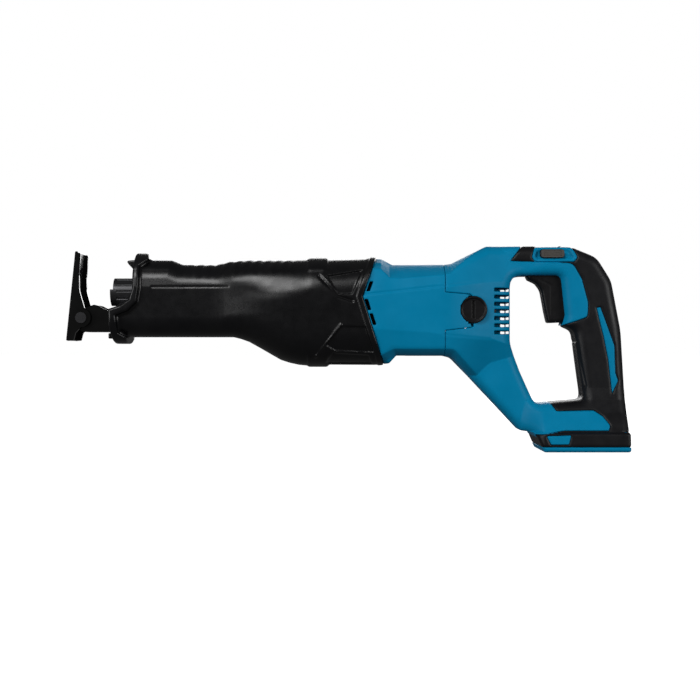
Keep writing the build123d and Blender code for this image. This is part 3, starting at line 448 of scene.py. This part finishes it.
def make_handle_side(side, sign):
    """Blue shell and black grip of one side."""
    y_low, y_high = (-39.2, 0.8) if sign < 0 else (-0.8, 39.2)
    grid = Grid((SPLIT_X - 1.2, y_low, -0.8), (241.2, y_high, 177.2), FINE)
    body = Body(grid)
    x, z = grid.x, grid.z
    half_space = 0.1 - sign * grid.y
    soft = depth_in_corners(SOFT, x, z)
    soft = np.minimum(soft, -depth_in_corners(STRIPE, x, z))
    soft = np.minimum(soft, -depth_in_corners(BASE_WINDOW, x, z))
    recess = depth_in_corners(LOCK_RECESS, x, z)
    rim = depth_inside(rounded_outline([(158.2, 166, 3), (161, 175, 3), (192.5, 175, 4),
                                        (197.6, 165.5, 3), (194, 161.8, 2), (161, 161.8, 2)]), x, z)
    soft = np.minimum(soft, -rim)
    dip = np.clip(recess, 0, 2.2)[:, None, :]
    cuts = handle_cuts(grid, sign)
    tongue = depth_in_corners(TONGUE, x, z) + 0.25
    cap = CAP_HOLE - np.hypot(x - CAP_X, z - MOTOR_Z)
    region = np.minimum(-tongue, -cap)
    region = np.minimum(region, x - SPLIT_X - 0.25)
    shell = grid.solid(body.depth, body.half, body.radius, body.relief - dip)
    sunk = np.clip((soft + 0.35) / 0.5, 0, 1)[:, None, :] * 2.2
    shell = both(shell + sunk, -region[:, None, :], 0.4)
    inner = grid.solid(body.depth - 4.6, body.half - 4.6, np.maximum(body.radius - 4.6, 1.0))
    web = np.maximum(np.abs(grid.y) - 1.2, 118 - grid.x3)
    shell = both(shell, -both(inner, -web))
    for boss_x, boss_z in HANDLE_SCREWS:
        shell = either(shell, both(grid.rod_y(boss_x, boss_z, 5.2), body.under(3.5)))
    shell = both(both(shell, -cuts, 0.3), half_space)
    made = [surface_mesh(f"handle_skin_{side}", shell, grid)]
    bulge = 0.35 * step_between(soft, 0.2, 2.2)[:, None, :]
    grip = grid.solid(body.depth, body.half, body.radius, body.relief - 0.35 + bulge)
    grip = both(grip, -(soft - 0.1)[:, None, :], 0.5)
    grip = both(grip, -body.under(2.0))
    grip = both(both(grip, -cuts), half_space)
    made.append(surface_mesh(f"grip_skin_{side}", grip, grid))
    return made


def make_trigger():
    """Trigger with a fine line down its side."""
    grid = Grid((153, -11.2, 107), (195, 11.2, 159), 0.7)
    depth = depth_in_corners(TRIGGER, grid.x, grid.z)
    half = np.full(depth.shape, 9.5, np.float32)
    lines = 0.3 * np.exp(-(line_distance([(176, 111), (176, 142), (166, 147)], grid.x, grid.z) / 0.7) ** 2)
    return surface_mesh("trigger_skin", grid.solid(depth, half, half * 0 + 3.0, -lines[:, None, :]), grid)


def make_brush_cap(side, sign):
    """Round cap with a fine rim and a screwdriver slot."""
    face = 33.4
    near, far = sorted((sign * (face - 6.0), sign * (face + 3.0)))
    grid = Grid((CAP_X - 13, near, MOTOR_Z - 13), (CAP_X + 13, far, MOTOR_Z + 13), 0.35)
    out = np.hypot(grid.x - CAP_X, grid.z - MOTOR_Z)
    height = face + 0.9 * step_between(out, 9.3, 9.9) - 0.5 * step_between(out, 11.0, 11.6)
    cap = both((out - 11.6)[:, None, :], sign * grid.y - height[:, None, :], 0.5)
    cap = both(cap, face - 4.5 - sign * grid.y)
    slot = np.maximum(np.abs(grid.x - CAP_X) - 1.2, np.abs(grid.z - MOTOR_Z) - 7.5)
    cap = both(cap, -both(slot[:, None, :], face - 1.6 - sign * grid.y))
    return surface_mesh(f"brush_cap_skin_{side}", cap, grid)


# ---------------------------------------------------------------- materials
def linear(red, green, blue):
    """Linear colour of sRGB values from 0 to 255."""
    values = []
    for value in (red / 255, green / 255, blue / 255):
        values.append(value / 12.92 if value <= 0.04045 else ((value + 0.055) / 1.055) ** 2.4)
    return (*values, 1.0)


def noise(tree, scale, detail=3.0, stretch=(1, 1, 1)):
    """Noise in the object's own coordinates; scale is in waves a metre."""
    coordinates = tree.nodes.new("ShaderNodeTexCoord")
    mapping = tree.nodes.new("ShaderNodeMapping")
    mapping.inputs["Scale"].default_value = stretch
    pattern = tree.nodes.new("ShaderNodeTexNoise")
    pattern.inputs["Scale"].default_value = scale
    pattern.inputs["Detail"].default_value = detail
    tree.links.new(coordinates.outputs["Object"], mapping.inputs["Vector"])
    tree.links.new(mapping.outputs["Vector"], pattern.inputs["Vector"])
    return pattern.outputs["Fac"]


def ramp(tree, source, low, high):
    """Maps a value from about 0.3 to 0.7 onto a range."""
    node = tree.nodes.new("ShaderNodeMapRange")
    node.inputs["From Min"].default_value = 0.3
    node.inputs["From Max"].default_value = 0.7
    node.inputs["To Min"].default_value = low
    node.inputs["To Max"].default_value = high
    tree.links.new(source, node.inputs["Value"])
    return node.outputs["Result"]


def finish(name, colour, roughness, metallic=0.0, tone=0.10, grain=2600.0, depth=0.00004,
           stretch=(1, 1, 1), specular=0.5, coat=0.0):
    """Material whose tone, gloss and fine relief all vary over the piece."""
    material = bpy.data.materials.new(name)
    material.use_nodes = True
    tree = material.node_tree
    shader = tree.nodes["Principled BSDF"]
    shader.inputs["Metallic"].default_value = metallic
    shader.inputs["Specular IOR Level"].default_value = specular
    shader.inputs["Coat Weight"].default_value = coat
    mix = tree.nodes.new("ShaderNodeMix")
    mix.data_type = "RGBA"
    mix.inputs[6].default_value = (*[v * (1 - tone) for v in colour[:3]], 1)
    mix.inputs[7].default_value = (*[min(v * (1 + tone) + 0.002, 1) for v in colour[:3]], 1)
    tree.links.new(ramp(tree, noise(tree, 55.0, 5.0, stretch), 0.0, 1.0), mix.inputs[0])
    tree.links.new(mix.outputs[2], shader.inputs["Base Color"])
    gloss = ramp(tree, noise(tree, 140.0, 4.0, stretch), roughness * 0.88, min(roughness * 1.12, 1.0))
    tree.links.new(gloss, shader.inputs["Roughness"])
    bump = tree.nodes.new("ShaderNodeBump")
    bump.inputs["Strength"].default_value = 0.6
    bump.inputs["Distance"].default_value = depth
    tree.links.new(noise(tree, grain, 2.0, stretch), bump.inputs["Height"])
    tree.links.new(bump.outputs["Normal"], shader.inputs["Normal"])
    return material


BLUE = finish("blue_nylon", linear(0, 123, 165), 0.42, tone=0.04, grain=3200, depth=0.00004,
              specular=0.07)
BOOT = finish("boot_rubber", linear(5, 5, 7), 0.28, tone=0.12, grain=1400, depth=0.000012,
              specular=0.34)
SOFT_BLACK = finish("soft_grip_rubber", linear(13, 13, 16), 0.44, tone=0.15, grain=3600, depth=0.00006,
                    specular=0.25)
BLACK = finish("black_nylon", linear(10, 9, 11), 0.40, tone=0.12, grain=3000, depth=0.00004, specular=0.25)
GREY = finish("grey_nylon", linear(66, 62, 58), 0.5, tone=0.10, grain=3000, depth=0.00005)
GLOSS_STEEL = finish("black_coated_steel", linear(3, 3, 3), 0.16, tone=0.2, grain=700, depth=0.00003,
                     specular=0.4, coat=0.1)
DARK_STEEL = finish("blackened_steel", linear(50, 50, 52), 0.36, metallic=0.7, tone=0.15, grain=1500,
                    depth=0.00003, stretch=(0.3, 1, 1))
GROUND = finish("ground_steel", linear(168, 168, 170), 0.28, metallic=1.0, tone=0.08, grain=2500,
                depth=0.00002, stretch=(1, 8, 8))
ZINC = finish("zinc_plated_steel", linear(176, 176, 170), 0.34, metallic=1.0, tone=0.12)
CAST = finish("cast_aluminium", linear(150, 151, 153), 0.55, metallic=0.9, tone=0.15, grain=900,
              depth=0.0001)
BRASS = finish("brass", linear(196, 160, 92), 0.3, metallic=1.0, tone=0.12)
BRONZE = finish("sintered_bronze", linear(150, 110, 70), 0.5, metallic=0.8, tone=0.2, grain=4000)
COPPER = finish("copper_wire", linear(150, 82, 48), 0.38, metallic=0.8, tone=0.25, grain=1600,
                depth=0.0002, stretch=(0.4, 1, 1))
FERRITE = finish("ferrite", linear(44, 44, 47), 0.7, tone=0.2, grain=2000, depth=0.0001)
STACK = finish("laminations", linear(96, 97, 102), 0.5, metallic=0.7, tone=0.2, grain=900,
               depth=0.0001, stretch=(6, 0.2, 0.2))
FELT = finish("felt", linear(70, 66, 62), 0.95, tone=0.3, grain=1800, depth=0.0003)
CARBON = finish("carbon", linear(38, 38, 40), 0.6, tone=0.25, grain=2200, depth=0.00006)
FLOOR = finish("pale_floor", (0.4, 0.4, 0.4, 1), 0.9, tone=0.01, grain=300, depth=0.00002)

FINISHES = {
    "gear_housing": CAST, "bearing_plate": CAST, "gear_bolts": ZINC, "front_bush": BRONZE,
    "rear_bush": BRONZE, "felt_seal": FELT, "handle_screws": ZINC, "motor_yoke": ZINC,
    "magnet_left": FERRITE, "magnet_right": FERRITE,
    "brush_holder_left": BRASS, "brush_holder_right": BRASS,
    "carbon_brush_left": CARBON, "carbon_brush_right": CARBON, "brush_spring_left": GROUND,
    "brush_spring_right": GROUND, "armature_shaft": GROUND, "armature_core": STACK,
    "armature_winding": COPPER, "commutator": COPPER, "cooling_fan": BLACK,
    "motor_bearing_front": GROUND, "motor_bearing_rear": GROUND, "crank_shaft": GROUND,
    "crank_gear": GROUND, "crank_pin": GROUND, "crank_roller": GROUND,
    "crank_bearing_lower": GROUND, "crank_bearing_upper": GROUND, "slider_rod": GROUND,
    "scotch_yoke": GROUND, "blade_holder": DARK_STEEL, "lock_pin": GROUND,
    "clamp_sleeve": DARK_STEEL, "shoe_bracket": GLOSS_STEEL, "shoe_plate": GLOSS_STEEL,
    "shoe_pin": DARK_STEEL, "lock_button": GREY, "switch_body": BLACK, "terminal_block": BLACK,
    "terminal_negative": BRASS, "terminal_signal": BRASS, "terminal_positive": BRASS,
}
# Visible CAD pieces whose edges are broken, with the width in millimetres.
BROKEN_EDGES = {
    "clamp_sleeve": 0.5, "blade_holder": 0.3, "shoe_bracket": 0.6, "shoe_plate": 1.3, "shoe_pin": 0.4,
    "lock_button": 0.5, "terminal_block": 0.4,
    "handle_screws": 0.2,
}


def paint(piece, material):
    piece.data.materials.clear()
    piece.data.materials.append(material)


def break_edges(piece, width):
    """Small bevel on every sharp edge."""
    bevel = piece.modifiers.new("broken edges", "BEVEL")
    bevel.width = width * MM
    bevel.segments = 2
    bevel.limit_method = "ANGLE"
    bevel.angle_limit = math.radians(32)


for node, material in FINISHES.items():
    paint(NODES[node], material)
    NODES[node].data.shade_smooth()
    NODES[node].data.set_sharp_from_angle(angle=math.radians(32))
for node, width in BROKEN_EDGES.items():
    break_edges(NODES[node], width)


def stand_in(piece, node, body, material, share=1.0):
    """A finer piece that takes a CAD node's place and moves with its body."""
    paint(piece, material)
    smooth = piece.modifiers.new("smoothed", "SMOOTH")
    smooth.factor, smooth.iterations = 0.4, 2
    if share < 1:
        thin = piece.modifiers.new("fewer faces", "DECIMATE")
        thin.ratio = share
    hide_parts(node)
    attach(piece, body)


stand_in(make_boot(), "front_boot", "housing", BOOT, 0.4)
for side, sign in (("left", -1), ("right", 1)):
    shell, grip = make_handle_side(side, sign)
    stand_in(shell, f"handle_shell_{side}", "housing", BLUE, 0.5)
    stand_in(grip, f"soft_grip_{side}", "housing", SOFT_BLACK, 0.6)
    stand_in(make_brush_cap(side, sign), f"brush_cap_{side}", "housing", BLACK)
motor_skin = make_motor_housing()
stand_in(motor_skin, "motor_housing", "housing", BLUE, 0.5)
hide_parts("brush_tongue_left", "brush_tongue_right")
stand_in(make_trigger(), "trigger", "trigger_lever", BLACK)


# ---------------------------------------------------------------- floor, light and camera
def floor():
    """Pale table that glows a little and doesn't light the saw."""
    bpy.ops.mesh.primitive_plane_add(size=40.0, location=(0, 0, -0.0006))
    plane = bpy.context.object
    plane.name = "floor"
    glow = FLOOR.node_tree.nodes["Principled BSDF"]
    glow.inputs["Emission Color"].default_value = (1, 1, 1, 1)
    glow.inputs["Emission Strength"].default_value = 0.98
    paint(plane, FLOOR)
    plane.visible_diffuse = False
    plane.visible_glossy = False


def soft_light(name, place, target, size, power):
    lamp = bpy.data.lights.new(name, "AREA")
    lamp.shape = "RECTANGLE"
    lamp.size, lamp.size_y = size
    lamp.energy = power
    holder = bpy.data.objects.new(name, lamp)
    bpy.context.scene.collection.objects.link(holder)
    holder.location = place
    holder.rotation_euler = (Vector(target) - Vector(place)).to_track_quat("-Z", "Y").to_euler()


def camera():
    """Level camera on the left side."""
    lens = bpy.data.cameras.new("camera")
    lens.sensor_width = 36.0
    distance, field = 1.25, 0.5936  # the field is measured at the near side, not at the middle
    lens.lens = 36.0 * (distance - 0.028) / field
    holder = bpy.data.objects.new("camera", lens)
    bpy.context.scene.collection.objects.link(holder)
    holder.location = (0.0026, -distance, 0.0864)
    holder.rotation_euler = (math.radians(90), 0, 0)
    bpy.context.scene.camera = holder


def studio():
    """White surroundings that light the saw more dimly than they look."""
    world = bpy.data.worlds.new("studio")
    bpy.context.scene.world = world
    world.use_nodes = True
    tree = world.node_tree
    seen = tree.nodes["Background"]
    seen.inputs["Color"].default_value = (1, 1, 1, 1)
    seen.inputs["Strength"].default_value = 1.0
    lit = tree.nodes.new("ShaderNodeBackground")
    lit.inputs["Color"].default_value = (1, 1, 1, 1)
    lit.inputs["Strength"].default_value = 0.10
    path = tree.nodes.new("ShaderNodeLightPath")
    mix = tree.nodes.new("ShaderNodeMixShader")
    tree.links.new(path.outputs["Is Camera Ray"], mix.inputs[0])
    tree.links.new(lit.outputs[0], mix.inputs[1])
    tree.links.new(seen.outputs[0], mix.inputs[2])
    tree.links.new(mix.outputs[0], tree.nodes["World Output"].inputs["Surface"])
    bpy.context.scene.view_settings.view_transform = "Standard"
    soft_light("key", (-0.42, -1.02, 0.84), (-0.07, 0, 0.14), (0.50, 0.42), 7.5)
    soft_light("left fill", (-1.30, -0.95, 0.25), (0, 0, 0.1), (0.8, 0.7), 11)
    soft_light("right fill", (1.30, -0.95, 0.35), (0, 0, 0.1), (0.8, 0.7), 11)
    soft_light("far side", (0.2, 1.5, 0.6), (0, 0, 0.1), (1.2, 0.8), 10)


floor()
studio()
camera()
